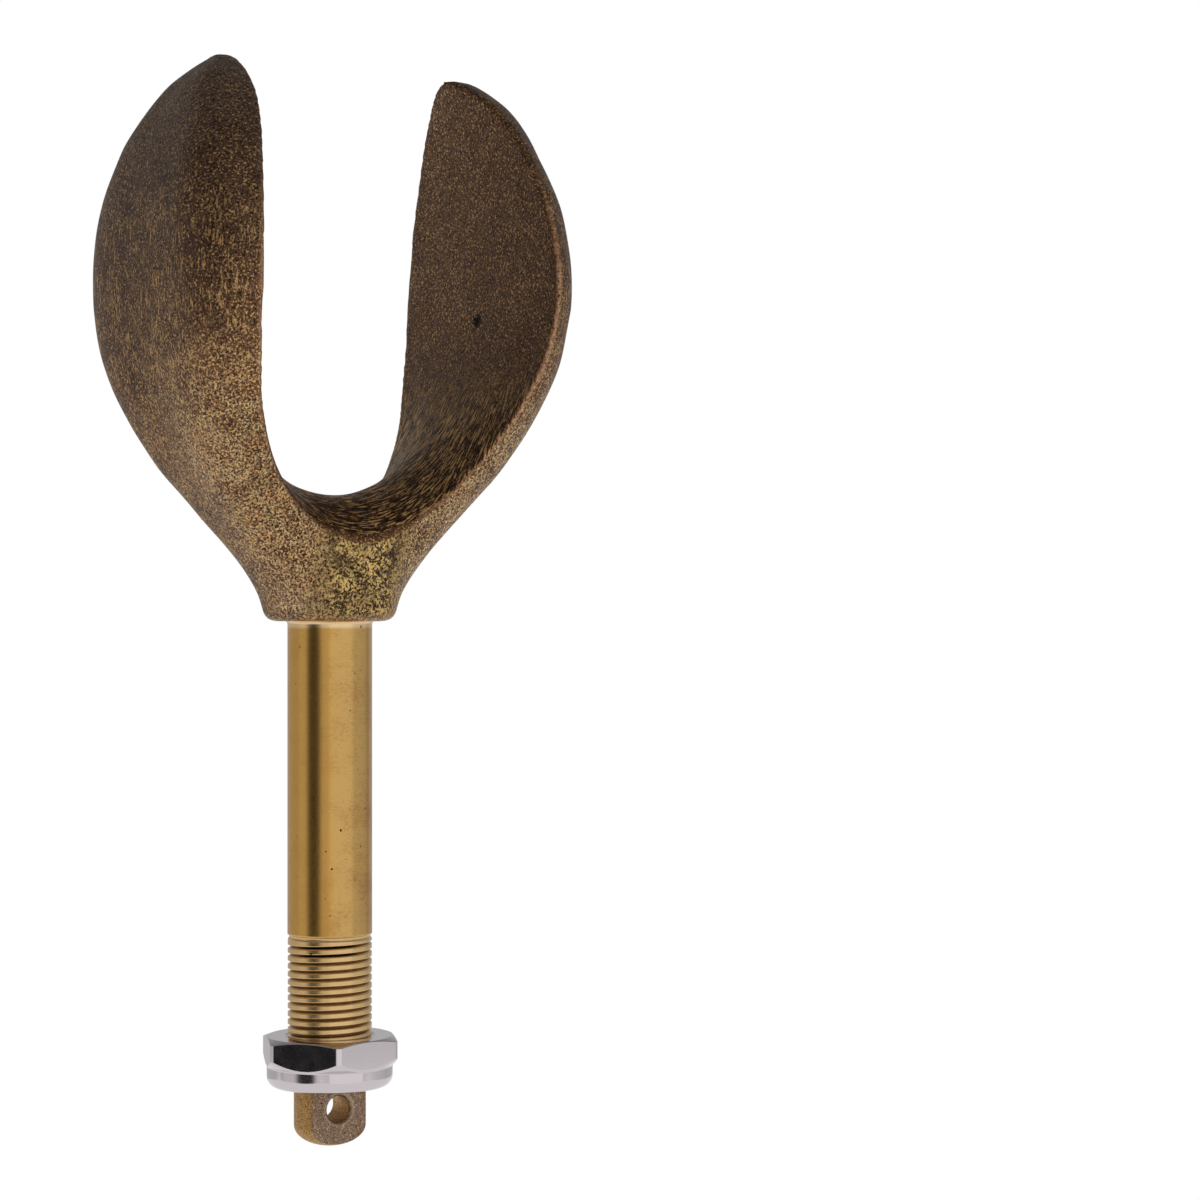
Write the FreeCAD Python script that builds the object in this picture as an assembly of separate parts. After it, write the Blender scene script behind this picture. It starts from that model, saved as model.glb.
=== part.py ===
import FreeCAD, Part
import os
from math import cos, pi, radians, sin, tan

# Rowlock with two broad leaf-shaped horns, cast in bronze in one piece with its shank.
# The shank is turned, threaded at its lower end and kept in its socket by a lock nut; below
# the thread a flattened tang has a hole for a lanyard.
# The origin is the centre of the shoulder's underside, which seats on the socket. +Z is up,
# X runs across the gap between the horns, and Y runs along the oar. All sizes are in mm.

# Head, heights above the shoulder's underside
HEAD_HEIGHT = 105.6
HEAD_LEAN = 1.4
SHOULDER_RADIUS = 12.0
SHOULDER_CORNER = 1.8
SADDLE_HEIGHT = 23.9
SADDLE_DROP = 8.7
GAP_WIDTH = 64.3
GAP_BULGE = 0.4
GAP_HEIGHT = 63.8
GAP_CROWN = 63.0
GAP_LEAN = 4.4
HORN_THICKNESS = 8.9
NECK_DEPTH = 24.6
LEAF_WIDTH = 64.0
LEAF_HEIGHT = 59.3

# Shank and tang, lengths measured downwards
SHANK_RADIUS = 8.0
SHANK_LENGTH = 59.2
GROOVE_WIDTH = 0.8
GROOVE_DEPTH = 0.3
THREAD_RADIUS = 7.94
THREAD_LENGTH = 28.4
THREAD_CHAMFER = 1.0
TANG_RADIUS = 6.8
TANG_LENGTH = 11.6
TANG_THICKNESS = 7.4
TANG_DOME = 3.9
HOLE_RADIUS = 2.5
HOLE_DROP = 4.4
HOLE_MOUTH = 0.5

# Lock nut and its insert
NUT_ACROSS_FLATS = 24.0
NUT_HEX_HEIGHT = 5.6
NUT_COLLAR_HEIGHT = 3.9
NUT_COLLAR_CORNER = 1.3
NUT_FACE_RADIUS = 11.8
NUT_TOP_CHAMFER = radians(20)
NUT_LOW_CHAMFER = radians(42)
NUT_COLLAR_INSET = 0.1
NUT_BELOW_RUNOUT = 19.2
NUT_TURN = 7.0
INSERT_RADIUS = 9.9
INSERT_HEIGHT = 1.9
INSERT_LIP = 0.5
THREAD_CLEARANCE = 0.1
INSERT_CLEARANCE = 0.06

# Fineness of the sections that the cast surfaces pass through
LEAF_POINTS = 20
GAP_POINTS = 16
GAP_SECTIONS = 5

THREAD_TOP = -SHANK_LENGTH
THREAD_END = THREAD_TOP - THREAD_LENGTH
TANG_END = THREAD_END - TANG_LENGTH
NUT_TOP = THREAD_TOP - NUT_BELOW_RUNOUT


def vector(x, y, z):
    return FreeCAD.Vector(x, y, z)


def between(stations, at):
    """The smooth curve through (position, value) stations, read at one position."""
    at = min(max(at, stations[0][0]), stations[-1][0])
    last = len(stations) - 1

    def slope(i):
        a, b = stations[max(i - 1, 0)], stations[min(i + 1, last)]
        return (b[1] - a[1]) / (b[0] - a[0])

    i = max(k for k in range(last) if stations[k][0] <= at)
    (x0, y0), (x1, y1) = stations[i], stations[i + 1]
    span = x1 - x0
    t = (at - x0) / span
    start = y0 * (1 + 2 * t) + slope(i) * span * t
    end = y1 * (3 - 2 * t) - slope(i + 1) * span * (1 - t)
    return start * (1 - t) ** 2 + end * t**2


def closed_wire(points):
    """A smooth closed curve through the points."""
    curve = Part.BSplineCurve()
    steps = [float(i) for i in range(len(points) + 1)]
    curve.interpolate(Points=points, PeriodicFlag=True, Parameters=steps)
    return Part.Wire(curve.toShape())


def turned(profile):
    """A solid of revolution about Z from (radius, height) corners."""
    corners = [vector(r, 0, z) for r, z in profile]
    face = Part.Face(Part.makePolygon(corners + corners[:1]))
    return face.revolve(vector(0, 0, 0), vector(0, 0, 1), 360)


def quarter(radius, centre, start, steps=4):
    """The (radius, height) corners of a rounded edge, a quarter circle from angle start."""
    angles = [start + pi / 2 * k / steps for k in range(steps + 1)]
    return [(centre[0] + radius * cos(a), centre[1] + radius * sin(a)) for a in angles]


def leaf_half_width(height):
    """Half the casting's size along the oar: the neck, then the leaf up to its rounded tip."""
    if height > LEAF_HEIGHT:
        rise = (height - LEAF_HEIGHT) / (HEAD_HEIGHT - LEAF_HEIGHT)
        return LEAF_WIDTH / 2 * max(0.0, 1 - rise**2) ** 0.61
    neck, leaf = NECK_DEPTH / 2, LEAF_WIDTH / 2
    shares = [(0.0, 0.0), (0.16, 0.0), (0.29, 0.07), (0.44, 0.25), (0.62, 0.55), (0.825, 0.88), (1.0, 1.0)]
    stations = [(LEAF_HEIGHT * h, neck + (leaf - neck) * w) for h, w in shares]
    return between(stations, height)


def horn_sections():
    """Heights with half the size across the horns and the roundness of the section.

    The two roundness exponents make a circle at the shoulder and a crowned slab with
    rounded edges at the leaves.
    """
    spread = [
        (0.0, 0.0, 2.0, 2.0),
        (0.058, 0.085, 2.05, 2.1),
        (0.125, 0.257, 2.15, 2.8),
        (0.192, 0.452, 2.3, 4.0),
        (0.287, 0.712, 2.5, 5.3),
        (0.421, 0.919, 2.5, 6.1),
        (0.574, 1.0, 2.5, 6.1),
        (0.727, 0.987, 2.5, 6.1),
        (0.861, 0.86, 2.5, 6.1),
        (0.938, 0.716, 2.5, 5.8),
        (0.975, 0.575, 2.5, 5.2),
        (0.993, 0.45, 2.5, 4.6),
    ]
    flare = GAP_WIDTH / 2 + HORN_THICKNESS - SHOULDER_RADIUS
    return [(HEAD_HEIGHT * h, SHOULDER_RADIUS + flare * s, p, q) for h, s, p, q in spread]


def horn_outline(height, across, crown, edge):
    """One horizontal section of the casting's outside."""
    along = leaf_half_width(height) if height > 0 else SHOULDER_RADIUS
    points = []
    for k in range(LEAF_POINTS):
        c, s = cos(2 * pi * k / LEAF_POINTS), sin(2 * pi * k / LEAF_POINTS)
        x = across * abs(c) ** (2 / crown) * (1 if c > 0 else -1)
        y = along * abs(s) ** (2 / edge) * (1 if s > 0 else -1)
        points.append(vector(x + HEAD_LEAN * height / HEAD_HEIGHT, y, height))
    return closed_wire(points)


def gap_outline(y):
    """The gap's egg-shaped outline at one place along the oar.

    It is highest over the middle of the saddle, which falls away to the neck's front and
    back like a rounded bar, and it leans a little across as it rises.
    """
    floor = GAP_HEIGHT - SADDLE_HEIGHT
    points = []
    for k in range(GAP_POINTS):
        turn = pi + 2 * pi * k / GAP_POINTS
        up, out = -cos(turn), sin(turn)
        reach = floor + SADDLE_DROP if up < 0 else GAP_CROWN
        edge = max(NECK_DEPTH / 2, leaf_half_width(GAP_HEIGHT + reach * up))
        share = min(abs(y) / edge, 1.3) ** 2
        reach = floor + SADDLE_DROP * share if up < 0 else GAP_CROWN
        half = GAP_WIDTH / 2 - GAP_BULGE * (1 - share)
        x = half * out + GAP_LEAN * (1 + up) / 2
        points.append(vector(x, y, GAP_HEIGHT + reach * up))
    return closed_wire(points)


def head():
    """The two horns, the saddle between them and the neck down to the shoulder."""
    outside = Part.makeLoft([horn_outline(*section) for section in horn_sections()], True, False)
    reach = LEAF_WIDTH * 0.55
    places = [reach * (2 * k / (GAP_SECTIONS - 1) - 1) for k in range(GAP_SECTIONS)]
    gap = Part.makeLoft([gap_outline(y) for y in places], True, False)
    corner, wide = SHOULDER_CORNER, GAP_WIDTH
    rounded = quarter(corner, (SHOULDER_RADIUS - corner, corner), -pi / 2)
    spread = (wide - SHOULDER_RADIUS) / 2
    foot = turned([(0, 0)] + rounded + [(wide, corner + spread), (wide, HEAD_HEIGHT), (0, HEAD_HEIGHT)])
    return outside.common(foot).cut(gap)


def shank():
    """The turned shank, a groove, the threaded end at its full diameter, and the round tang."""
    steps = [pi / 2 * k / 5 for k in range(6)]
    dome = [(TANG_RADIUS * cos(a), TANG_END + TANG_DOME * (1 - sin(a))) for a in steps]
    inside = SADDLE_HEIGHT / 3
    groove = SHANK_RADIUS - GROOVE_DEPTH
    return turned(
        [
            (0, inside),
            (SHANK_RADIUS, inside),
            (SHANK_RADIUS, THREAD_TOP),
            (groove, THREAD_TOP),
            (groove, THREAD_TOP - GROOVE_WIDTH),
            (THREAD_RADIUS, THREAD_TOP - GROOVE_WIDTH),
            (THREAD_RADIUS, THREAD_END + THREAD_CHAMFER),
            (THREAD_RADIUS - THREAD_CHAMFER, THREAD_END),
            (TANG_RADIUS, THREAD_END),
        ]
        + dome
    )


def tang_cuts():
    """The two flats of the tang and the lanyard hole through them."""
    wide = 3 * TANG_RADIUS
    flat = Part.makeBox(wide, wide, TANG_LENGTH, vector(-wide / 2, TANG_THICKNESS / 2, TANG_END))
    other = flat.mirror(vector(0, 0, 0), vector(0, 1, 0))
    front = -TANG_THICKNESS / 2
    centre = vector(0, front, THREAD_END - HOLE_DROP)
    hole = Part.makeCylinder(HOLE_RADIUS, TANG_THICKNESS, centre, vector(0, 1, 0))
    mouth = Part.makeCone(HOLE_RADIUS + HOLE_MOUTH, HOLE_RADIUS, HOLE_MOUTH, centre, vector(0, 1, 0))
    back = mouth.mirror(vector(0, 0, 0), vector(0, 1, 0))
    return [flat, other, hole, mouth, back]


def crutch_casting():
    """Horns, neck, shank, thread and tang: one bronze casting."""
    body = shank()
    for tool in tang_cuts():
        body = body.cut(tool)
    return head().fuse(body)


def lock_nut():
    """A thin hexagon nut whose round collar, at its lower end, holds the insert."""
    corner = NUT_ACROSS_FLATS / 3**0.5
    hex_end = NUT_TOP - NUT_HEX_HEIGHT
    bottom = hex_end - NUT_COLLAR_HEIGHT
    bore = THREAD_RADIUS + THREAD_CLEARANCE
    collar = NUT_ACROSS_FLATS / 2 - NUT_COLLAR_INSET
    over = 0.2
    top_fall = (corner + over - NUT_FACE_RADIUS) * tan(NUT_TOP_CHAMFER)
    low_rise = (corner + over - collar) * tan(NUT_LOW_CHAMFER)
    rounded = quarter(NUT_COLLAR_CORNER, (collar - NUT_COLLAR_CORNER, bottom + NUT_COLLAR_CORNER), -pi / 2)
    outside = turned(
        [(0, NUT_TOP), (NUT_FACE_RADIUS, NUT_TOP), (corner + over, NUT_TOP - top_fall)]
        + [(corner + over, hex_end + low_rise), (collar, hex_end)]
        + rounded[::-1]
        + [(0, bottom)]
    )
    hexagon = [NUT_TURN + 60 * k for k in range(7)]
    corners = [vector(corner * cos(radians(a)), corner * sin(radians(a)), hex_end) for a in hexagon]
    blank = Part.Face(Part.makePolygon(corners)).extrude(vector(0, 0, NUT_HEX_HEIGHT))
    flange = Part.makeCylinder(collar, NUT_COLLAR_HEIGHT, vector(0, 0, bottom))
    through = Part.makeCylinder(bore, NUT_TOP - bottom, vector(0, 0, bottom))
    seat = bottom + INSERT_LIP
    pocket = Part.makeCylinder(INSERT_RADIUS, INSERT_HEIGHT, vector(0, 0, seat))
    mouth = Part.makeCylinder((bore + INSERT_RADIUS) / 2, INSERT_LIP, vector(0, 0, bottom))
    nut = blank.fuse(flange).common(outside)
    for tool in (through, pocket, mouth):
        nut = nut.cut(tool)
    return nut


def nylon_insert():
    """The plain ring in the nut's collar that grips the thread."""
    seat = NUT_TOP - NUT_HEX_HEIGHT - NUT_COLLAR_HEIGHT + INSERT_LIP
    inner, outer = THREAD_RADIUS + INSERT_CLEARANCE, INSERT_RADIUS - INSERT_CLEARANCE
    low, high = seat + INSERT_CLEARANCE, seat + INSERT_HEIGHT - INSERT_CLEARANCE
    return turned([(inner, low), (outer, low), (outer, high), (inner, high)])


os.makedirs("parts", exist_ok=True)
for make in (crutch_casting, lock_nut, nylon_insert):
    make().exportStep("parts/" + make.__name__ + ".step")
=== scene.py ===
from math import cos, pi, radians, sin, tan

import bmesh
import bpy
import numpy as np
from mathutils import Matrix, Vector, noise


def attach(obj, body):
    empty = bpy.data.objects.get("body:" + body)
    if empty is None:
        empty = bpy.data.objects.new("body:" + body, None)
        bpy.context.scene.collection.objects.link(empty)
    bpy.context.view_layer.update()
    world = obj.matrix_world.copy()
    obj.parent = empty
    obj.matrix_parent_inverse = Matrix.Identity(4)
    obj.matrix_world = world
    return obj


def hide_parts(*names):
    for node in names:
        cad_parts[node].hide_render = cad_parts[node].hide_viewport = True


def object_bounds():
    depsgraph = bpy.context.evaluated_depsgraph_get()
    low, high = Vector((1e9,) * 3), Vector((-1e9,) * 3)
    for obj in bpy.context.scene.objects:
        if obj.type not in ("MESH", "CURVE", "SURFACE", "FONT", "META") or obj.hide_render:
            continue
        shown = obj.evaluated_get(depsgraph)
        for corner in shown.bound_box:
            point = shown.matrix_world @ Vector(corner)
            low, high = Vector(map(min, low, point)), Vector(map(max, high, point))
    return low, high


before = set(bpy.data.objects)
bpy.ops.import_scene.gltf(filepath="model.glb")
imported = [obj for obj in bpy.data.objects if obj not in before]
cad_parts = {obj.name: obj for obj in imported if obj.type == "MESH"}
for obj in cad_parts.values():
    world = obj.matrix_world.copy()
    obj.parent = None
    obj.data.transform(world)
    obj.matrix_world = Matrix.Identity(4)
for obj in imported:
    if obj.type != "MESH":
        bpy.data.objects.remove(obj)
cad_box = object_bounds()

# Head: two broad leaf-shaped horns, the saddle between them and the neck, cast in bronze.
# The sand skin has gone dark brown and is worn lighter on the rims and towards the neck. The near rims'
# lighter tan is partly a painted highlight, and the neck's left flank carries a painted highlight with
# painted glints.
MM = 0.001  # The pieces' sizes are in millimetres, and heights are from the shoulder.
HEAD_HEIGHT = 105.1
HEAD_LEAN = 1.4
SHOULDER_RADIUS = 12.0
SHOULDER_CORNER = 1.8
SADDLE_HEIGHT = 23.9
SADDLE_DROP = 8.7
GAP_WIDTH = 63.5
GAP_BULGE = 0.4
GAP_HEIGHT = 63.8
GAP_CROWN = 63.0
GAP_LEAN = 4.4
HORN_THICKNESS = 9.3
NECK_DEPTH = 24.6
LEAF_WIDTH = 63.7
LEAF_HEIGHT = 59.3
LEAF_TAPER = 0.61
LEAST_WIDTH = 0.2
TIP_BEND = 1.6
TIP_BEND_FROM = 0.88
TIP_SHIFT = 1.9
TIP_SHIFT_FROM = 0.84
TIP_CLOSE = 0.65
TIP_CLOSE_FROM = 0.5
RIM_ROUND = 1.0
GRID = 0.6
GRID_LOW = (-44.0, -34.0, -2.0)
GRID_SPAN = (88.0, 68.0, HEAD_HEIGHT + 4.0)
SECTION_STEPS = 600
LEAF_STEPS = 900
LEAF_RANGE = (-60.0, 160.0)
DROP_LIMIT = 1.3
DROP_ROUNDS = 4
FAR_OUT = 50.0
UNEVEN = 0.14
UNEVEN_SPAN = 12.0
PIT_PLACE = (33.8, -0.5, 58.8)
PIT_SIZE = 1.5
PIT_DEPTH = 0.6


def between(stations, at):
    """The smooth curve through (position, value) stations, read at one position."""
    at = min(max(at, stations[0][0]), stations[-1][0])
    last = len(stations) - 1
    i = max(k for k in range(last) if stations[k][0] <= at)
    (x0, y0), (x1, y1) = stations[i], stations[i + 1]
    slopes = []
    for k in (i, i + 1):
        a, b = stations[max(k - 1, 0)], stations[min(k + 1, last)]
        slopes.append((b[1] - a[1]) / (b[0] - a[0]))
    t = (at - x0) / (x1 - x0)
    start = y0 * (1 + 2 * t) + slopes[0] * (x1 - x0) * t
    end = y1 * (3 - 2 * t) - slopes[1] * (x1 - x0) * (1 - t)
    return start * (1 - t) ** 2 + end * t**2


# By share of the leaf's height: how far the casting has widened from the neck to the leaf.
NECK_FLARE = [(0.0, 0.0), (0.16, 0.0), (0.29, 0.07), (0.44, 0.25), (0.62, 0.55), (0.825, 0.88), (1.0, 1.0)]


def leaf_half_width(height):
    """Half the casting's size along the oar at one height."""
    if height > LEAF_HEIGHT:
        rise = (height - LEAF_HEIGHT) / (HEAD_HEIGHT - LEAF_HEIGHT)
        return LEAF_WIDTH / 2 * max(0.0, 1 - rise**2) ** LEAF_TAPER
    neck, leaf = NECK_DEPTH / 2, LEAF_WIDTH / 2
    return between([(LEAF_HEIGHT * h, neck + (leaf - neck) * w) for h, w in NECK_FLARE], height)


# By share of the head's height: how far the outside has spread from the shoulder to the horns,
# and the powers of its section across and along the oar. 2 is an ellipse, and more is squarer.
SPREAD = [(0.0, 0.0), (0.058, 0.085), (0.125, 0.257), (0.192, 0.452), (0.287, 0.712), (0.421, 0.919),
          (0.574, 1.0), (0.727, 0.987), (0.861, 0.863), (0.938, 0.750), (0.975, 0.635), (1.0, 0.52)]
CROWN = [(0.0, 2.0), (0.125, 2.15), (0.192, 2.3), (0.287, 2.5), (1.0, 2.5)]
EDGE = [(0.0, 2.0), (0.058, 2.1), (0.125, 2.8), (0.192, 4.0), (0.287, 5.3), (0.421, 6.1),
        (0.861, 6.1), (1.0, 4.5)]


def section(height):
    """Half sizes across and along the oar, and both bulges, of the head's outside at one height."""
    share = height / HEAD_HEIGHT
    flare = GAP_WIDTH / 2 + HORN_THICKNESS - SHOULDER_RADIUS
    across = SHOULDER_RADIUS + flare * between(SPREAD, share)
    along = leaf_half_width(height)
    if height < SHOULDER_CORNER:
        inset = SHOULDER_CORNER - (SHOULDER_CORNER**2 - (SHOULDER_CORNER - height) ** 2) ** 0.5
        across, along = across - inset, along - inset
    return across, max(along, LEAST_WIDTH), between(CROWN, share), between(EDGE, share)


def distance(field):
    """A field that is 0 on a surface, changed to millimetres from it."""
    slope = sum(g**2 for g in np.gradient(field, GRID)) ** 0.5
    return field / np.maximum(slope, 1e-6)


def above(z, share):
    """0 up to a share of the head's height, rising evenly to 1 at its top."""
    return np.maximum(z / HEAD_HEIGHT - share, 0) / (1 - share)


def outside_field(x, y, z):
    """Above 0 outside the head's outer shape."""
    heights = np.linspace(0, HEAD_HEIGHT, SECTION_STEPS)
    table = np.array([section(h) for h in heights])
    across, along, crown, edge = (np.interp(z, heights, column) for column in table.T)
    centre = HEAD_LEAN * z / HEAD_HEIGHT + TIP_SHIFT * above(z, TIP_SHIFT_FROM)
    bulge = np.abs((x - centre) / across) ** crown + np.abs(y / along) ** edge
    return np.minimum(bulge, FAR_OUT) ** (1 / edge) - 1


def gap_field(x, y, z):
    """Below 0 in the egg-shaped gap. Its floor, the saddle, drops towards both ends.

    The drop depends on how wide the leaf is at the height it leads to, so it is found in rounds.
    """
    heights = np.linspace(*LEAF_RANGE, LEAF_STEPS)
    widths = [leaf_half_width(min(max(h, 0), HEAD_HEIGHT)) for h in heights]
    leaf = np.maximum(widths, NECK_DEPTH / 2)
    floor = GAP_HEIGHT - SADDLE_HEIGHT
    low = z < GAP_HEIGHT
    full = np.where(low, floor + SADDLE_DROP, GAP_CROWN)
    up = (z - GAP_HEIGHT) / full
    for _ in range(DROP_ROUNDS):
        edge = np.interp(GAP_HEIGHT + full * up, heights, leaf)
        share = np.minimum(np.abs(y) / edge, DROP_LIMIT) ** 2
        up = (z - GAP_HEIGHT) / np.where(low, floor + SADDLE_DROP * share, GAP_CROWN)
    half = GAP_WIDTH / 2 - GAP_BULGE * (1 - share) - TIP_CLOSE * above(z, TIP_CLOSE_FROM)
    centre = GAP_LEAN * (1 + up) / 2 - TIP_BEND * above(z, TIP_BEND_FROM) ** 2
    return (((x - centre) / half) ** 2 + up**2) ** 0.5 - 1


def skin(name, field, start):
    """A smooth mesh of the surface where a field on a grid of points is 0."""
    inside = field < 0
    cells = tuple(n - 1 for n in field.shape)

    def corner(values, offset):
        return values[tuple(slice(o, o + n) for o, n in zip(offset, cells))]

    offsets = [(i, j, k) for i in (0, 1) for j in (0, 1) for k in (0, 1)]
    filled = sum(corner(inside, o).astype(int) for o in offsets)
    mixed = (filled > 0) & (filled < 8)
    number = np.full(cells, -1)
    number[mixed] = np.arange(mixed.sum())
    total, crossings = np.zeros((mixed.sum(), 3)), np.zeros(mixed.sum())
    for axis in range(3):
        for offset in (o for o in offsets if o[axis] == 0):
            far = tuple(1 if n == axis else o for n, o in enumerate(offset))
            a, b = corner(field, offset)[mixed], corner(field, far)[mixed]
            crossed = (a < 0) != (b < 0)
            point = np.tile(np.array(offset, float), (len(a), 1))
            point[crossed, axis] = a[crossed] / (a[crossed] - b[crossed])
            total[crossed] += point[crossed]
            crossings[crossed] += 1
    points = (np.argwhere(mixed) + total / crossings[:, None]) * GRID + start
    faces = []
    for axis in range(3):
        one, two = (axis + 1) % 3, (axis + 2) % 3
        near = inside.take(range(field.shape[axis] - 1), axis)
        crossed = np.argwhere(near != inside.take(range(1, field.shape[axis]), axis))
        crossed = crossed[(crossed[:, one] > 0) & (crossed[:, two] > 0)]
        around = []
        for back_one, back_two in ((1, 1), (0, 1), (0, 0), (1, 0)):
            cell = crossed.copy()
            cell[:, one] -= back_one
            cell[:, two] -= back_two
            around.append(number[tuple(cell.T)])
        quads = np.array(around).T
        outward = near[tuple(crossed.T)]
        faces += quads[outward].tolist() + quads[~outward][:, ::-1].tolist()
    piece = bpy.data.objects.new(name, bpy.data.meshes.new(name))
    piece.data.from_pydata((points * MM).tolist(), [], faces)
    bpy.context.scene.collection.objects.link(piece)
    piece.data.shade_smooth()
    return piece


def reshaped(piece, kind, **settings):
    """The piece after one modifier, which is applied to its mesh."""
    modifier = piece.modifiers.new(kind.lower(), kind)
    for name, value in settings.items():
        setattr(modifier, name, value)
    graph = bpy.context.evaluated_depsgraph_get()
    shape = bpy.data.meshes.new_from_object(piece.evaluated_get(graph))
    piece.modifiers.clear()
    piece.data = shape
    piece.data.shade_smooth()
    return piece


ticks = [low + GRID * np.arange(int(span / GRID)) for low, span in zip(GRID_LOW, GRID_SPAN)]
x, y, z = np.meshgrid(*ticks, indexing="ij")
outer = distance(outside_field(x, y, z))
inner = -distance(gap_field(x, y, z))
rounded = np.maximum(outer + RIM_ROUND, 0) ** 2 + np.maximum(inner + RIM_ROUND, 0) ** 2
cast = np.minimum(-RIM_ROUND, np.maximum(outer, inner)) + rounded**0.5
cast = np.maximum(np.maximum(cast, -z), z - HEAD_HEIGHT)
head = skin("cast_head", cast, np.array(GRID_LOW))
reshaped(head, "SMOOTH", factor=0.5, iterations=4)
# All normals are copied first, because moving one point changes those around it.
normals = [vertex.normal.copy() for vertex in head.data.vertices]
for vertex, normal in zip(head.data.vertices, normals):
    point = vertex.co / MM
    rise = UNEVEN * noise.fractal(point / UNEVEN_SPAN, 1.0, 2.0, 2)
    away = (point - Vector(PIT_PLACE)).length / PIT_SIZE
    vertex.co += normal * (rise - PIT_DEPTH * max(0.0, 1 - away) ** 0.5) * MM


class Wire:
    """A shader node's output. Sums on it add Math nodes."""

    def __init__(self, tree, output):
        self.tree, self.output = tree, output

    def node(self, kind, settings, inputs, output=0):
        """One output of a new node, with its settings and then the values or links of its sockets."""
        made = self.tree.nodes.new(kind)
        for name, value in settings.items():
            setattr(made, name, value)
        for key, value in inputs.items():
            if isinstance(value, Wire):
                self.tree.links.new(value.output, made.inputs[key])
            else:
                made.inputs[key].default_value = value
        return Wire(self.tree, made.outputs[output])

    def math(self, operation, *values):
        return self.node("ShaderNodeMath", {"operation": operation}, dict(enumerate((self,) + values)))

    def __add__(self, other):
        return self.math("ADD", other)

    def __sub__(self, other):
        return self.math("SUBTRACT", other)

    def __mul__(self, other):
        return self.math("MULTIPLY", other)

    def __rsub__(self, other):
        return self * -1 + other

    __radd__ = __add__
    __rmul__ = __mul__

    def ramp(self, low, high):
        """0 below low and 1 above high, with a soft change between them. Either way round."""
        settings = {"interpolation_type": "SMOOTHSTEP"}
        turned = low > high
        ends = {"Value": self, "From Min": min(low, high), "From Max": max(low, high)}
        ends.update({"To Min": 1.0, "To Max": 0.0} if turned else {"To Min": 0.0, "To Max": 1.0})
        return self.node("ShaderNodeMapRange", settings, ends)

    def mix(self, one, other):
        """The colour one where this wire is 0, and other where it is 1."""
        pads = [c if isinstance(c, Wire) else (*c, 1) for c in (one, other)]
        return self.node("ShaderNodeMix", {"data_type": "RGBA"}, {0: self, 6: pads[0], 7: pads[1]}, 2)

    def stretched(self, x, y, z):
        """This place with each axis scaled."""
        return self.node("ShaderNodeVectorMath", {"operation": "MULTIPLY"}, {0: self, 1: (x, y, z)})

    def grain(self, scale, detail=2.0, roughness=0.5, distortion=0.0):
        """Noise about 0.5 at this place in millimetres, with cells 1 / scale mm across."""
        inputs = {"Vector": self, "Scale": scale, "Detail": detail}
        inputs.update({"Roughness": roughness, "Distortion": distortion})
        return self.node("ShaderNodeTexNoise", {}, inputs)

    def offset(self, x, y, z):
        """This place moved by a fixed step, also to read another part of the same noise."""
        return self.node("ShaderNodeVectorMath", {"operation": "ADD"}, {0: self, 1: (x, y, z)})

    def length(self):
        """How far this place is from its zero."""
        return self.node("ShaderNodeVectorMath", {"operation": "LENGTH"}, {0: self}, 1)

    def dot(self, other):
        return self.node("ShaderNodeVectorMath", {"operation": "DOT_PRODUCT"}, {0: self, 1: other}, 1)

    def axis(self, name):
        return self.node("ShaderNodeSeparateXYZ", {}, {0: self}, "XYZ".index(name))

    def bump(self, depth):
        """A normal from this height, which is depth millimetres deep."""
        return self.node("ShaderNodeBump", {}, {"Height": self, "Distance": depth * MM})


def new_finish(name):
    """An empty material, its surface shader and places on the piece in millimetres."""
    material = bpy.data.materials.new(name)
    material.use_nodes = True
    tree = material.node_tree
    tree.nodes.clear()
    shader = tree.nodes.new("ShaderNodeBsdfPrincipled")
    out = tree.nodes.new("ShaderNodeOutputMaterial")
    tree.links.new(shader.outputs[0], out.inputs[0])
    place = Wire(tree, tree.nodes.new("ShaderNodeTexCoord").outputs["Object"]).stretched(1000, 1000, 1000)
    return material, shader, place


def apply(shader, **inputs):
    """Links or sets the surface shader's sockets."""
    for name, value in inputs.items():
        socket = shader.inputs[name.replace("_", " ")]
        if isinstance(value, Wire):
            value.tree.links.new(value.output, socket)
        else:
            socket.default_value = value


PIT_BLACK = (0.014, 0.009, 0.007)
PATINA_DARK = (0.036, 0.020, 0.011)
PATINA_GREY = (0.120, 0.065, 0.042)
TIP_GREY = (0.225, 0.145, 0.108)
PATINA_BROWN = (0.148, 0.067, 0.030)
PATINA_GOLD = (0.870, 0.530, 0.220)
# Rubbed tan serves the worn rims and also the painted highlights.
RUBBED_TAN_AND_HIGHLIGHT = (0.640, 0.355, 0.215)
BARE_YELLOW = (1.000, 0.670, 0.250)
GLINT = (1.000, 0.740, 0.380)
SKIN_TURN = (0.6, 0.4, 0.9)
# Painted highlights: the directions and heights where the neck's left flank and a ridge on it are painted
# lighter. The first direction also sets the shank's painted warm reflection.
REFLECTION_SIDE = (-0.92, -0.39, 0.0)
RIDGE_HIGHLIGHT_SIDE = (-0.90, -0.44, 0.0)
GREY_HEIGHTS = (30.0, 75.0)
TIP_HEIGHTS = (78.0, 100.0)
WORN_HEIGHTS = (70.0, 14.0)
RIM_HEIGHTS = (92.0, 60.0)
FLANK_HIGHLIGHT_HEIGHTS = (44.0, 26.0)
RIDGE_HIGHLIGHT_HEIGHTS = (56.0, 28.0)
SADDLE_HEIGHTS = (52.0, 34.0)
FRONT_HEIGHTS = (23.0, 15.0)
SKIN_DEPTH = 0.18

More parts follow.
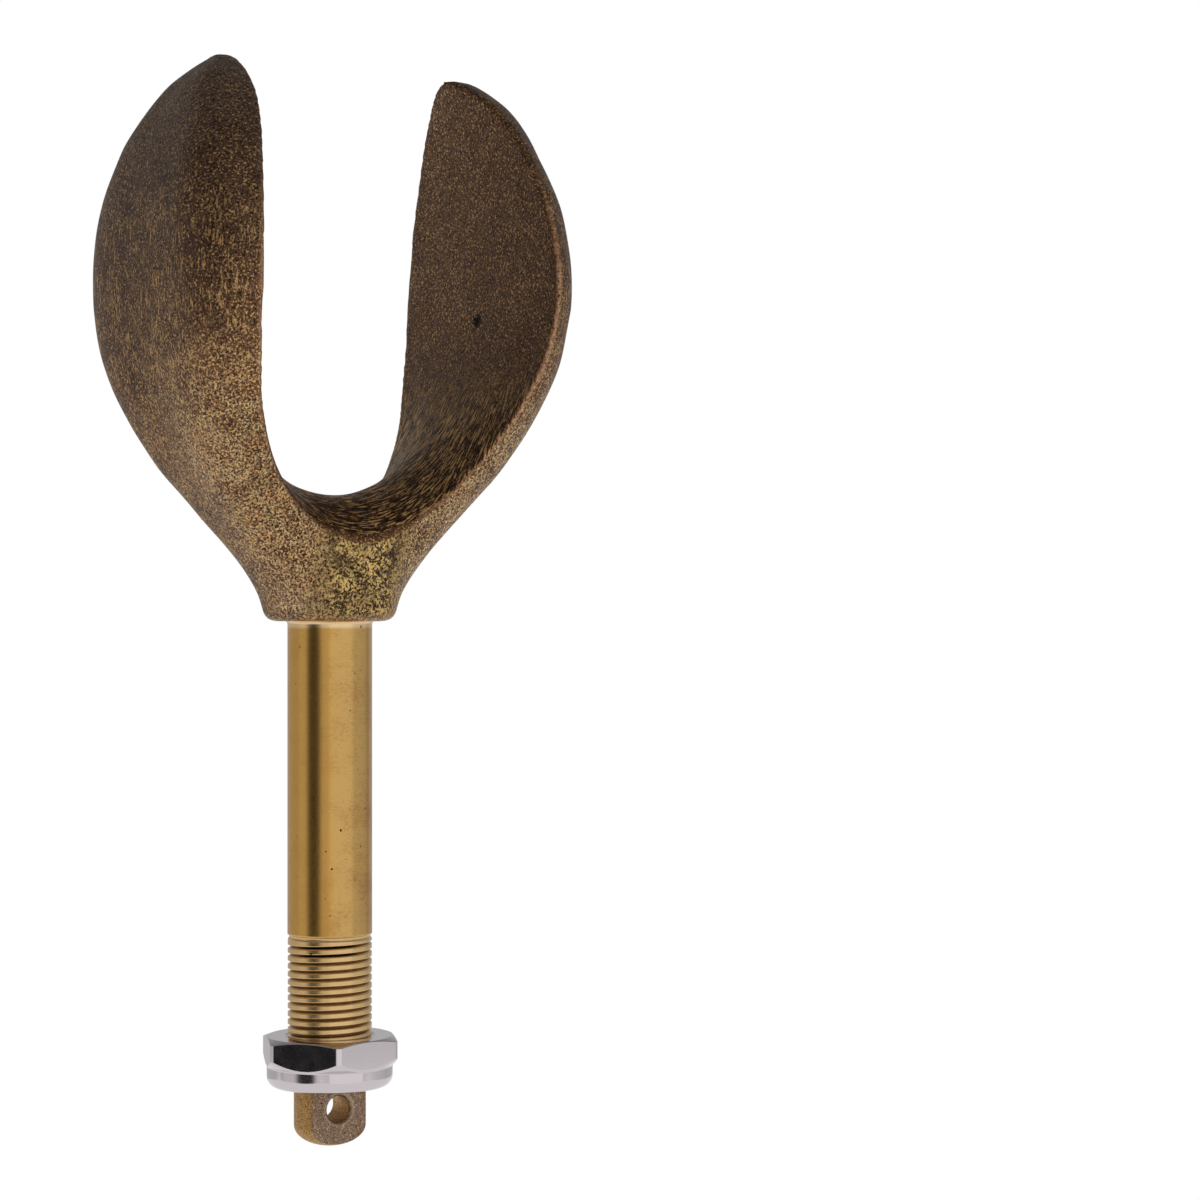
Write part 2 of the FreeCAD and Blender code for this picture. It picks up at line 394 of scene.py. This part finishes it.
patina, shader, place = new_finish("cast_patina")
height = place.axis("Z")
across = place.axis("X")
normal = place.node("ShaderNodeNewGeometry", {}, {}, "Normal")
edge = place.node("ShaderNodeNewGeometry", {}, {}, "Pointiness")
outward = place.offset(0, 0, -GAP_HEIGHT).stretched(1, 0, 1)
inside = normal.dot(outward).ramp(2.0, -6.0)
outside = 1 - inside

# Worn parts: low on the outside, and the rims of the gap. The near rims' lighter tan is partly real wear
# and partly a painted highlight on their rounding.
low = height.ramp(*WORN_HEIGHTS)
near = place.axis("Y").ramp(4.0, -12.0)
rim_wear_and_highlight = edge.ramp(0.51, 0.56) * height.ramp(*RIM_HEIGHTS) * near
sparkle = low * outside * (0.35 + near * 0.65)
wear_and_glint = sparkle + rim_wear_and_highlight * 0.8

# The sand grain, dark in its hollows and bright where it is rubbed. In the low worn zone its raised
# contrast also paints glints and dark reflections of the grainy metal.
skewed = place.node("ShaderNodeMapping", {}, {"Vector": place, "Rotation": SKIN_TURN})
grain = skewed.grain(2.1, 2.0, 0.65) - 0.5
fine = skewed.grain(3.1, 1.0) - 0.5
blotch = skewed.grain(0.10, 3.0, 0.6) - 0.5
contrast = 2.1 + sparkle * 1.7 - rim_wear_and_highlight * 0.9
tone = (grain * 0.7 + fine * 0.5) * contrast
tone = tone + blotch * (0.22 + sparkle * 0.5) + wear_and_glint * 0.03 + 0.5
colour = (height.ramp(*GREY_HEIGHTS) * (1 - inside * 0.6)).mix(PATINA_BROWN, PATINA_GREY)
colour = (height.ramp(*TIP_HEIGHTS) * outside * 0.5).mix(colour, TIP_GREY)
colour = tone.ramp(0.46, 0.28).mix(colour, PATINA_DARK)
# Partly painted highlight: the near rims and the low front are painted lighter tan over their wear.
colour = (rim_wear_and_highlight * 0.9 + low * outside * near * 0.22).mix(colour, RUBBED_TAN_AND_HIGHLIGHT)
colour = (tone.ramp(0.60, 0.86) * (0.75 + wear_and_glint * 0.25)).mix(colour, PATINA_GOLD)
# Painted highlight: the neck's left flank, and more strongly a ridge on it, are painted lighter tan where
# they face that side.
flank_highlight = normal.dot(REFLECTION_SIDE).ramp(0.72, 0.97) * height.ramp(*FLANK_HIGHLIGHT_HEIGHTS) * outside
colour = (flank_highlight * 0.3).mix(colour, RUBBED_TAN_AND_HIGHLIGHT)
ridge_highlight = normal.dot(RIDGE_HIGHLIGHT_SIDE).ramp(0.90, 0.985) * height.ramp(*RIDGE_HIGHLIGHT_HEIGHTS) * outside
colour = (ridge_highlight * 0.6).mix(colour, RUBBED_TAN_AND_HIGHLIGHT)
# Partly painted dark reflections: dark grains in the sparkle zone, together with dark patina in the grain.
colour = (tone.ramp(0.42, 0.27) * sparkle * 0.9).mix(colour, PATINA_DARK)

# Bright specks in clusters, strokes that follow the horns, and ribs along the saddle.
clusters = skewed.grain(0.30, 2.0).ramp(0.38, 0.60)
specks = skewed.offset(40, 7, 3).grain(2.6, 2.0, 0.6).ramp(0.56, 0.60)
specks = specks * clusters * (0.2 + wear_and_glint * 0.8)
strokes = place.stretched(3.0, 3.0, 0.32).grain(1.0, 1.0, 0.5, 0.5)
flow = outside * height.ramp(*RIM_HEIGHTS) * clusters
specks = specks + strokes.ramp(0.58, 0.63) * flow * 0.6
ribs = place.stretched(0.45, 3.8, 0.45).grain(1.0, 1.0, 0.5, 0.4)
saddle = inside * height.ramp(*SADDLE_HEIGHTS) * normal.axis("Y").math("ABSOLUTE").ramp(0.90, 0.75)
# Painted glints are scattered along the painted flank and ridge highlights.
specks = specks + (flank_highlight * 0.4 + ridge_highlight * 0.8) * grain.ramp(0.01, 0.07)
colour = (saddle * 0.4).mix(colour, PATINA_DARK)
colour = (ribs.ramp(0.56, 0.60) * saddle * 0.95).mix(colour, PATINA_GOLD)
# Painted glints: in the worn zones the specks turn to the pale glint colour.
colour = specks.mix(colour, wear_and_glint.ramp(0.2, 0.7).mix(PATINA_GOLD, GLINT))
creases = strokes.ramp(0.43, 0.34) * flow * 0.5 + ribs.ramp(0.48, 0.38) * saddle * 0.8

# The neck's front, worn to bare yellow metal in patches.
front = place.axis("Y").ramp(-4.0, -9.0) * height.ramp(*FRONT_HEIGHTS) * height.ramp(0.2, 2.0)
front = front * across.ramp(-12.0, -3.0) * across.ramp(12.0, 5.0) * outside
bare = skewed.offset(11, 5, 2).grain(0.25, 2.0, 0.6).ramp(0.34, 0.44)
smear = skewed.offset(3, 50, 9).stretched(1.0, 1.0, 1.4).grain(0.45, 4.0, 0.75).ramp(0.53, 0.57)
worms = skewed.offset(30, 5, 19).grain(1.9, 3.0, 0.6).ramp(0.50, 0.53) * bare
worms = worms.math("MAXIMUM", smear * tone.ramp(0.30, 0.45)) * front
colour = (front * 0.85).mix(colour, PATINA_DARK)
colour = (worms * 0.95).mix(colour, BARE_YELLOW)

# Black pits in the skin, one large on the inside of the right horn.
pits = skewed.offset(9, 21, 60).grain(2.2, 1.0, 0.6).ramp(0.37, 0.32) * (0.55 + rim_wear_and_highlight * 0.45)
hole = place.offset(*(-c for c in PIT_PLACE)).stretched(0.35, 0.62, 0.75)
hole = (hole.length() + grain * 3.0).ramp(1.15, 0.85)
pits = pits.math("MAXIMUM", hole * 1.1).math("MAXIMUM", creases)
colour = (pits * 0.9).mix(colour, PIT_BLACK)
relief = (grain + fine * 0.6 + specks * 0.4 + worms * 0.4 - pits * 0.7) * (0.8 + wear_and_glint * 1.4)
relief = relief.bump(SKIN_DEPTH)
apply(shader, Base_Color=colour, Metallic=0.94, Roughness=0.46 - wear_and_glint * 0.14, Normal=relief)
head.data.materials.append(patina)
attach(head, "casting")
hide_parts("crutch_casting")

# Shank: turned smooth from the same casting, with a thread cut at its lower end.
# The fine right-hand thread takes the lock nut, and its first turns run out below the plain part.
SHANK_RADIUS = 8.0
SHANK_LENGTH = 59.2
SHANK_FILLET = 0.6
GROOVE_WIDTH = 0.8
GROOVE_DEPTH = 0.3
THREAD_RADIUS = 7.94
THREAD_LENGTH = 28.4
THREAD_PITCH = 1.5
THREAD_DEPTH = 0.62
THREAD_CHAMFER = 1.0
THREAD_FLANK = 4.2
THREAD_RUNOUT = 0.6
EDGE_BREAK = 0.1
OVERLAP = 1.0
THREAD_TOP = -SHANK_LENGTH
THREAD_START = THREAD_TOP - GROOVE_WIDTH
THREAD_END = THREAD_TOP - THREAD_LENGTH
AROUND = 120
PER_TURN = 20
PLAIN_STEPS = 12
FILLET_STEPS = 6


def tube(name, rings):
    """A mesh through rings of points in millimetres, closed by a cap at each end."""
    mesh = bmesh.new()
    loops = [[mesh.verts.new(Vector(p) * MM) for p in ring] for ring in rings]
    for low, high in zip(loops, loops[1:]):
        for k in range(len(low)):
            j = (k + 1) % len(low)
            mesh.faces.new((low[k], low[j], high[j], high[k]))
    mesh.faces.new(loops[0][::-1])
    mesh.faces.new(loops[-1])
    bmesh.ops.recalc_face_normals(mesh, faces=mesh.faces)
    piece = bpy.data.objects.new(name, bpy.data.meshes.new(name))
    mesh.to_mesh(piece.data)
    mesh.free()
    bpy.context.scene.collection.objects.link(piece)
    piece.data.shade_smooth()
    return piece


def turned_ring(radius, height):
    """A level circle of points."""
    turns = [2 * pi * k / AROUND for k in range(AROUND)]
    return [(radius * cos(turn), radius * sin(turn), height) for turn in turns]


def thread_ring(height):
    """A level ring of the right-hand thread, which fades out at the top and is chamfered below."""
    runout = min(1.0, (THREAD_START - height) / (THREAD_RUNOUT * THREAD_PITCH))
    chamfer = THREAD_RADIUS - THREAD_CHAMFER + height - THREAD_END
    ring = []
    for k in range(AROUND):
        phase = ((height - THREAD_END) / THREAD_PITCH - k / AROUND) % 1
        crest = min(1.0, max(0.0, THREAD_FLANK * (0.5 - abs(phase - 0.5))))
        radius = min(THREAD_RADIUS - THREAD_DEPTH * (1 - crest) * runout, chamfer)
        turn = 2 * pi * k / AROUND
        ring.append((radius * cos(turn), radius * sin(turn), height))
    return ring


levels = np.linspace(THREAD_END, THREAD_START, int(THREAD_LENGTH / THREAD_PITCH * PER_TURN))
rings = [thread_ring(level) for level in levels]
groove = SHANK_RADIUS - GROOVE_DEPTH
rings += [turned_ring(groove, THREAD_START + EDGE_BREAK), turned_ring(groove, THREAD_TOP - EDGE_BREAK)]
rings += [turned_ring(SHANK_RADIUS - EDGE_BREAK, THREAD_TOP)]
rings += [turned_ring(SHANK_RADIUS, THREAD_TOP + up) for up in (EDGE_BREAK, 3 * EDGE_BREAK)]
for k in range(1, PLAIN_STEPS + 1):
    rings.append(turned_ring(SHANK_RADIUS, THREAD_TOP * (1 - k / PLAIN_STEPS) - SHANK_FILLET))
for k in range(1, FILLET_STEPS + 1):
    turn = pi / 2 * k / FILLET_STEPS
    wider = SHANK_RADIUS + SHANK_FILLET * (1 - cos(turn))
    rings.append(turned_ring(wider, -SHANK_FILLET * (1 - sin(turn))))
rings += [turned_ring(SHANK_RADIUS + SHANK_FILLET, OVERLAP)]
shank = tube("turned_shank", rings)

NICK_PLACE = (2.4, -8.0, -1.0)
BRASS = (0.620, 0.385, 0.130)
BRASS_TARNISH = (0.420, 0.215, 0.070)
BRASS_WARM_REFLECTION = (0.700, 0.380, 0.080)
PALE_BRASS_AND_HIGHLIGHT = (0.860, 0.620, 0.340)
FRONT_SHADOW_SIDE = (-0.53, -0.85, 0.0)
RING_HIGHLIGHT_HEIGHTS = (-1.6, -0.8)
GROOVE_SHADE = (7.75, 7.40)
BLACK_SHADE = (7.62, 7.45)
TOOL_MARK_DEPTH = 0.008
turned_bronze, shader, place = new_finish("turned_bronze")
height = place.axis("Z")
lines = place.stretched(0.10, 0.10, 6.0).grain(1.0, 3.0, 0.7)
cloud = place.grain(0.12, 3.0, 0.65)
fine = place.stretched(1.5, 1.5, 2.5).grain(1.0, 3.0, 0.7)
dots = place.offset(5, 3, 8).grain(0.9, 2.0, 0.6).ramp(0.28, 0.24)
tarnish = ((cloud - 0.5) * 2.2 + (fine - 0.5) * 1.6 + (lines - 0.5) * 0.7).ramp(-0.25, 0.65)
colour = (tarnish * 0.8).mix(BRASS, BRASS_TARNISH)
# Painted warm reflection: the side that faces left is tinted a deeper brass.
left_warm_reflection = place.node("ShaderNodeNewGeometry", {}, {}, "Normal").dot(REFLECTION_SIDE).ramp(0.62, 0.88)
colour = (left_warm_reflection * 0.6).mix(colour, BRASS_WARM_REFLECTION)
cut = height.ramp(THREAD_TOP + 0.5, THREAD_TOP - 0.5)
colour = (cut * 0.55).mix(colour, PALE_BRASS_AND_HIGHLIGHT)
reach = place.stretched(1, 1, 0).length()
colour = (reach.ramp(*GROOVE_SHADE) * cut * 0.75).mix(colour, PATINA_DARK)
# Painted highlight: a pale ring at the top of the shank, just under the shoulder.
colour = height.ramp(*RING_HIGHLIGHT_HEIGHTS).mix(colour, PALE_BRASS_AND_HIGHLIGHT)
# Painted shadow: black fills the grooves of the thread's first turns over the front side.
first_turns_shadow = height.ramp(THREAD_TOP - 1.2, THREAD_TOP - 1.6)
first_turns_shadow = first_turns_shadow * height.ramp(THREAD_TOP - 4.6, THREAD_TOP - 4.2)
first_turns_shadow = first_turns_shadow * place.dot(FRONT_SHADOW_SIDE).ramp(4.4, 6.4)
colour = (reach.ramp(*BLACK_SHADE) * first_turns_shadow).mix(colour, PIT_BLACK)
nick = place.offset(*(-c for c in NICK_PLACE)).length().ramp(0.55, 0.30)
colour = dots.math("MAXIMUM", nick * 0.9).mix(colour, PIT_BLACK)
relief = (lines * 0.4 + fine * 0.6).bump(TOOL_MARK_DEPTH)
gloss = 0.17 + cloud * 0.10 + (fine - 0.5) * 0.2
apply(shader, Base_Color=colour, Metallic=1.0, Roughness=gloss, Normal=relief)
shank.data.materials.append(turned_bronze)
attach(shank, "casting")
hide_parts("crutch_casting")

# Tang: the shank's end flattened on two sides below the thread, left rough from the sand.
# The hole through it, with broken edges, takes a lanyard or a ring.
TANG_RADIUS = 6.8
TANG_LENGTH = 11.6
TANG_THICKNESS = 7.4
TANG_DOME = 3.9
HOLE_RADIUS = 2.5
HOLE_DROP = 4.4
HOLE_MOUTH = 0.5
TANG_END = THREAD_END - TANG_LENGTH
DOME_STEPS = 16
HOLE_AROUND = 48
FLAT_REACH = 10.0
FLAT_LOW = -110.0
TANG_VOXEL = 0.2

outline = [(TANG_RADIUS, THREAD_END + OVERLAP), (TANG_RADIUS, THREAD_END)]
for k in range(DOME_STEPS):
    turn = pi / 2 * k / DOME_STEPS
    outline.append((TANG_RADIUS * cos(turn), TANG_END + TANG_DOME * (1 - sin(turn))))
tang = tube("tang", [turned_ring(radius, height) for radius, height in outline])


def across_hole(radius, y):
    """A ring of the lanyard hole at one depth."""
    turns = [2 * pi * k / HOLE_AROUND for k in range(HOLE_AROUND)]
    return [(radius * cos(turn), y, THREAD_END - HOLE_DROP + radius * sin(turn)) for turn in turns]


face = TANG_THICKNESS / 2
mouth = HOLE_RADIUS + HOLE_MOUTH
depths = [(mouth + OVERLAP, -face - OVERLAP), (HOLE_RADIUS, -face + HOLE_MOUTH)]
depths += [(radius, -y) for radius, y in reversed(depths)]
cutters = [tube("hole", [across_hole(r, y) for r, y in depths])]
for side in (-1, 1):
    low, high = sorted((side * face, side * 3 * TANG_RADIUS))
    square = [(-FLAT_REACH, FLAT_LOW), (FLAT_REACH, FLAT_LOW)]
    square += [(FLAT_REACH, THREAD_END), (-FLAT_REACH, THREAD_END)]
    cutters.append(tube("flat", [[(x, y, z) for x, z in square] for y in (low, high)]))
for cutter in cutters:
    reshaped(tang, "BOOLEAN", operation="DIFFERENCE", object=cutter, solver="EXACT")
    bpy.data.objects.remove(cutter)
reshaped(tang, "REMESH", mode="VOXEL", voxel_size=TANG_VOXEL * MM)
reshaped(tang, "SMOOTH", factor=0.5, iterations=3)

TANG_SIDE = (0.480, 0.270, 0.085)
TANG_FACE = (0.230, 0.150, 0.115)
TANG_GLINT = (0.740, 0.520, 0.340)
TANG_RUBBED = (0.620, 0.500, 0.380)
TANG_DEPTH = 0.14
rough_tang, shader, place = new_finish("rough_tang")
grit = place.grain(2.6, 3.0, 0.65)
side = place.node("ShaderNodeNewGeometry", {}, {}, "Normal").axis("Y").math("ABSOLUTE").ramp(0.35, 0.8)
fine = place.grain(5.0, 2.0, 0.6)
colour = (side * grit.ramp(0.25, 0.55)).mix(TANG_SIDE, TANG_FACE)
glints = ((grit - 0.5) * 2.0 + (fine - 0.5) * 2.0).ramp(0.08, 0.6)
colour = glints.mix(colour, side.mix(PATINA_GOLD, TANG_GLINT))
colour = ((grit - 0.5) * 2.0 + (fine - 0.5) * 1.5).ramp(-0.05, -0.5).mix(colour, PATINA_DARK)
bore = place.offset(0, 0, HOLE_DROP - THREAD_END).stretched(1, 0, 1).length()
colour = (bore.ramp(HOLE_RADIUS + 1.0, HOLE_RADIUS + 0.4) * side * 0.4).mix(colour, TANG_RUBBED)
relief = (grit + fine * 0.5).bump(TANG_DEPTH)
apply(shader, Base_Color=colour, Metallic=0.9, Roughness=0.40, Normal=relief)
tang.data.materials.append(rough_tang)
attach(tang, "casting")
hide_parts("crutch_casting")

# Lock nut: a thin hexagon of polished stainless steel with a round collar at its lower end.
# It screws onto the shank's thread and keeps the rowlock in its socket.
NUT_ACROSS_FLATS = 24.0
NUT_HEX_HEIGHT = 5.6
NUT_COLLAR_HEIGHT = 3.9
NUT_COLLAR_CORNER = 2.1
NUT_COLLAR_TUCK = 1.8
NUT_FACE_RADIUS = 11.8
NUT_TOP_CHAMFER = radians(20)
NUT_LOW_CHAMFER = radians(42)
NUT_COLLAR_INSET = 0.1
NUT_BELOW_RUNOUT = 19.2
NUT_TURN = 7.0
NUT_ROUNDING = 0.25
INSERT_RADIUS = 9.9
INSERT_HEIGHT = 1.9
INSERT_LIP = 0.5
THREAD_CLEARANCE = 0.1
BORE_CHAMFER = 0.6
CORNER_SPARE = 0.2
NUT_TOP = THREAD_TOP - NUT_BELOW_RUNOUT
NUT_AROUND = 480
NUT_STEP = 0.15
COLLAR_STEPS = 12
WELD_REACH = 0.002


def nut_ring(radius, height):
    """A turned ring of the blank, held within the rounded hexagon."""
    flat = NUT_ACROSS_FLATS / 2
    ring = []
    for k in range(NUT_AROUND):
        turn = 2 * pi * k / NUT_AROUND
        off = (turn - radians(NUT_TURN)) % (pi / 3) - pi / 6
        wall = min(flat / cos(off), flat / cos(pi / 6) - NUT_ROUNDING)
        r = min(radius, wall)
        spare = abs(radius - wall)
        if spare < NUT_ROUNDING:
            r -= (NUT_ROUNDING - spare) ** 2 / (4 * NUT_ROUNDING)
        ring.append((r * cos(turn), r * sin(turn), height))
    return ring


corner = NUT_ACROSS_FLATS / 3**0.5 + CORNER_SPARE
hex_end = NUT_TOP - NUT_HEX_HEIGHT
bottom = hex_end - NUT_COLLAR_HEIGHT
collar = NUT_ACROSS_FLATS / 2 - NUT_COLLAR_INSET
bore = THREAD_RADIUS + THREAD_CLEARANCE
mouth = (bore + INSERT_RADIUS) / 2
seat = bottom + INSERT_LIP
outline = [(bore, NUT_TOP - BORE_CHAMFER), (bore + BORE_CHAMFER, NUT_TOP), (NUT_FACE_RADIUS, NUT_TOP)]
outline += [(corner, NUT_TOP - (corner - NUT_FACE_RADIUS) * tan(NUT_TOP_CHAMFER))]
outline += [(corner, hex_end + (corner - collar) * tan(NUT_LOW_CHAMFER))]
outline += [(collar, hex_end)]
for k in range(COLLAR_STEPS + 1):
    turn = pi / 2 * k / COLLAR_STEPS
    tucked = collar - NUT_COLLAR_TUCK * (1 - cos(turn))
    outline.append((tucked, bottom + NUT_COLLAR_CORNER * (1 - sin(turn))))
outline += [(mouth, bottom), (mouth, seat), (INSERT_RADIUS, seat)]
outline += [(INSERT_RADIUS, seat + INSERT_HEIGHT), (bore, seat + INSERT_HEIGHT), outline[0]]
rings = []
for (r0, z0), (r1, z1) in zip(outline, outline[1:]):
    steps = max(1, round(((r1 - r0) ** 2 + (z1 - z0) ** 2) ** 0.5 / NUT_STEP))
    for k in range(steps):
        rings.append(nut_ring(r0 + (r1 - r0) * k / steps, z0 + (z1 - z0) * k / steps))
nut = tube("hexagon_nut", rings + rings[:1])
reshaped(nut, "WELD", merge_threshold=WELD_REACH * MM)

STEEL = (0.690, 0.630, 0.650)
SCRATCH_DEPTH = 0.002
polished_steel, shader, place = new_finish("polished_steel")
smear = place.grain(0.5, 3.0, 0.6)
scratches = place.stretched(0.6, 0.6, 5.0).grain(1.0, 3.0, 0.7).bump(SCRATCH_DEPTH)
apply(shader, Base_Color=(*STEEL, 1), Metallic=1.0, Roughness=0.05 + smear * 0.08, Normal=scratches)
nut.data.materials.append(polished_steel)
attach(nut, "nut")
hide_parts("lock_nut")

# Nylon insert: a plain pale ring pressed into the nut's collar, which grips the thread and
# keeps the nut from working loose. Its solid is shown as it is, in this finish.
NYLON_DULL = (0.660, 0.640, 0.580)
NYLON_PALE = (0.740, 0.720, 0.670)
NYLON_DEPTH = 0.01
nylon, shader, place = new_finish("nylon")
haze = place.grain(0.8, 3.0, 0.6)
colour = haze.mix(NYLON_DULL, NYLON_PALE)
apply(shader, Base_Color=colour, Roughness=0.42 + haze * 0.1, Normal=haze.bump(NYLON_DEPTH))
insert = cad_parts["nylon_insert"]
insert.data.materials.clear()
insert.data.materials.append(nylon)

# Studio: a pale paper floor well below the tang, a white backdrop and two soft lamps. The room
# that the metal mirrors is grey, with two dark gaps that give the shank and the nut their stripes.
# The camera stands level with the shoulder, to the left of the oar's line.
CAMERA_AZIMUTH = radians(30.0)
CAMERA_DISTANCE = 0.559  # The studio's distances are in metres.
CAMERA_HEIGHT = 0.004
AXIS_PIXEL = 330.6
FOCAL_PIXELS = 2937.0
IMAGE_SIZE = 1200
LAMP_DISTANCE = 0.9
LAMP_HEIGHT = 0.10
LAMP_AIM = (0.0, 0.0, 0.01)
RIGHT_LAMP_TURN = radians(32)
RIGHT_LAMP_SIZE = (1.2, 0.9)
RIGHT_LAMP_POWER = 0.75
LEFT_LAMP_TURN = radians(-80)
LEFT_LAMP_SIZE = (0.4, 0.9)
LEFT_LAMP_POWER = 0.12

camera = bpy.data.objects.new("camera", bpy.data.cameras.new("camera"))
bpy.context.scene.collection.objects.link(camera)
camera.location = (
    -CAMERA_DISTANCE * sin(CAMERA_AZIMUTH), -CAMERA_DISTANCE * cos(CAMERA_AZIMUTH), CAMERA_HEIGHT)
aside = (IMAGE_SIZE / 2 - AXIS_PIXEL) / FOCAL_PIXELS
camera.rotation_euler = (pi / 2, 0, -CAMERA_AZIMUTH - aside)
camera.data.lens = camera.data.sensor_width * FOCAL_PIXELS / IMAGE_SIZE
bpy.context.scene.camera = camera


def around(turn, distance, height):
    """A place seen from the rowlock at an angle to the right of the camera."""
    angle = CAMERA_AZIMUTH - turn
    return Vector((-distance * sin(angle), -distance * cos(angle), height))


def lamp(name, turn, size, power):
    """A soft lamp that faces the rowlock."""
    light = bpy.data.lights.new(name, "AREA")
    light.shape, light.energy = "RECTANGLE", power
    light.size, light.size_y = size
    holder = bpy.data.objects.new(name, light)
    holder.location = around(turn, LAMP_DISTANCE, LAMP_HEIGHT)
    holder.rotation_euler = (Vector(LAMP_AIM) - holder.location).to_track_quat("-Z", "Y").to_euler()
    bpy.context.scene.collection.objects.link(holder)


lamp("right_lamp", RIGHT_LAMP_TURN, RIGHT_LAMP_SIZE, RIGHT_LAMP_POWER)
lamp("left_lamp", LEFT_LAMP_TURN, LEFT_LAMP_SIZE, LEFT_LAMP_POWER)

FLOOR_REACH = 0.35
FLOOR_HEIGHT = -0.16
PAPER = (0.920, 0.920, 0.920)
PAPER_GLOW = 1.12
GLOW_SEEN = 0.86
GLOW_MIRRORED = 0.62
corners = [(x * FLOOR_REACH, y * FLOOR_REACH, 0) for x, y in ((-1, -1), (1, -1), (1, 1), (-1, 1))]
floor_mesh = bpy.data.meshes.new("floor")
floor_mesh.from_pydata(corners, [], [(0, 1, 2, 3)])
floor = bpy.data.objects.new("floor", floor_mesh)
floor.location.z = FLOOR_HEIGHT
bpy.context.scene.collection.objects.link(floor)
paper, shader, place = new_finish("floor_paper")
apply(shader, Base_Color=(*PAPER, 1), Roughness=0.9)
tree = paper.node_tree
glow = tree.nodes.new("ShaderNodeEmission")
glow.inputs["Strength"].default_value = PAPER_GLOW
blend = tree.nodes.new("ShaderNodeMixShader")
seen = place.node("ShaderNodeLightPath", {}, {}, "Is Camera Ray") * GLOW_SEEN
mirrored = place.node("ShaderNodeLightPath", {}, {}, "Is Glossy Ray") * GLOW_MIRRORED
tree.links.new(seen.math("MAXIMUM", mirrored).output, blend.inputs[0])
tree.links.new(shader.outputs[0], blend.inputs[1])
tree.links.new(glow.outputs[0], blend.inputs[2])
tree.links.new(blend.outputs[0], next(n for n in tree.nodes if n.type == "OUTPUT_MATERIAL").inputs[0])
floor.data.materials.append(paper)

ROOM_LEVEL = 0.50
ROOM_BRIGHT_SIDE = radians(35)
ROOM_SIDE_GAIN = 0.14
ROOM_LOW_GAIN = 0.18
ROOM_HIGH_LOSS = 0.30
WIDE_GAP = radians(-44)
NARROW_GAP = radians(125)
world = bpy.data.worlds.new("surround")
world.use_nodes = True
tree = world.node_tree
tree.nodes.clear()
background = tree.nodes.new("ShaderNodeBackground")
tree.links.new(background.outputs[0], tree.nodes.new("ShaderNodeOutputWorld").inputs[0])
toward = Wire(tree, tree.nodes.new("ShaderNodeTexCoord").outputs["Generated"])


def facing(turn):
    """How far a direction agrees with the level one at an angle to the right of the camera."""
    return toward.dot(tuple(around(turn, 1.0, 0.0)))


rise = toward.axis("Z")
level = ROOM_LEVEL + facing(ROOM_BRIGHT_SIDE).ramp(-0.2, 0.8) * ROOM_SIDE_GAIN
level = level + rise.ramp(-0.1, -0.4) * ROOM_LOW_GAIN - rise.ramp(0.05, 0.7) * ROOM_HIGH_LOSS
below = rise.ramp(-0.11, -0.14)
level = level * (1 - facing(WIDE_GAP).ramp(0.91, 0.985) * (0.88 + below * 0.10))
level = level * (1 - facing(NARROW_GAP).ramp(0.985, 0.997) * (0.25 + below * 0.5))
seen = toward.node("ShaderNodeLightPath", {}, {}, "Is Camera Ray")
apply(background, Color=seen.mix(level.mix((0, 0, 0), (1, 1, 1)), (1, 1, 1)))
bpy.context.scene.world = world

bpy.context.scene.view_settings.view_transform = "Standard"
low, high = cad_box
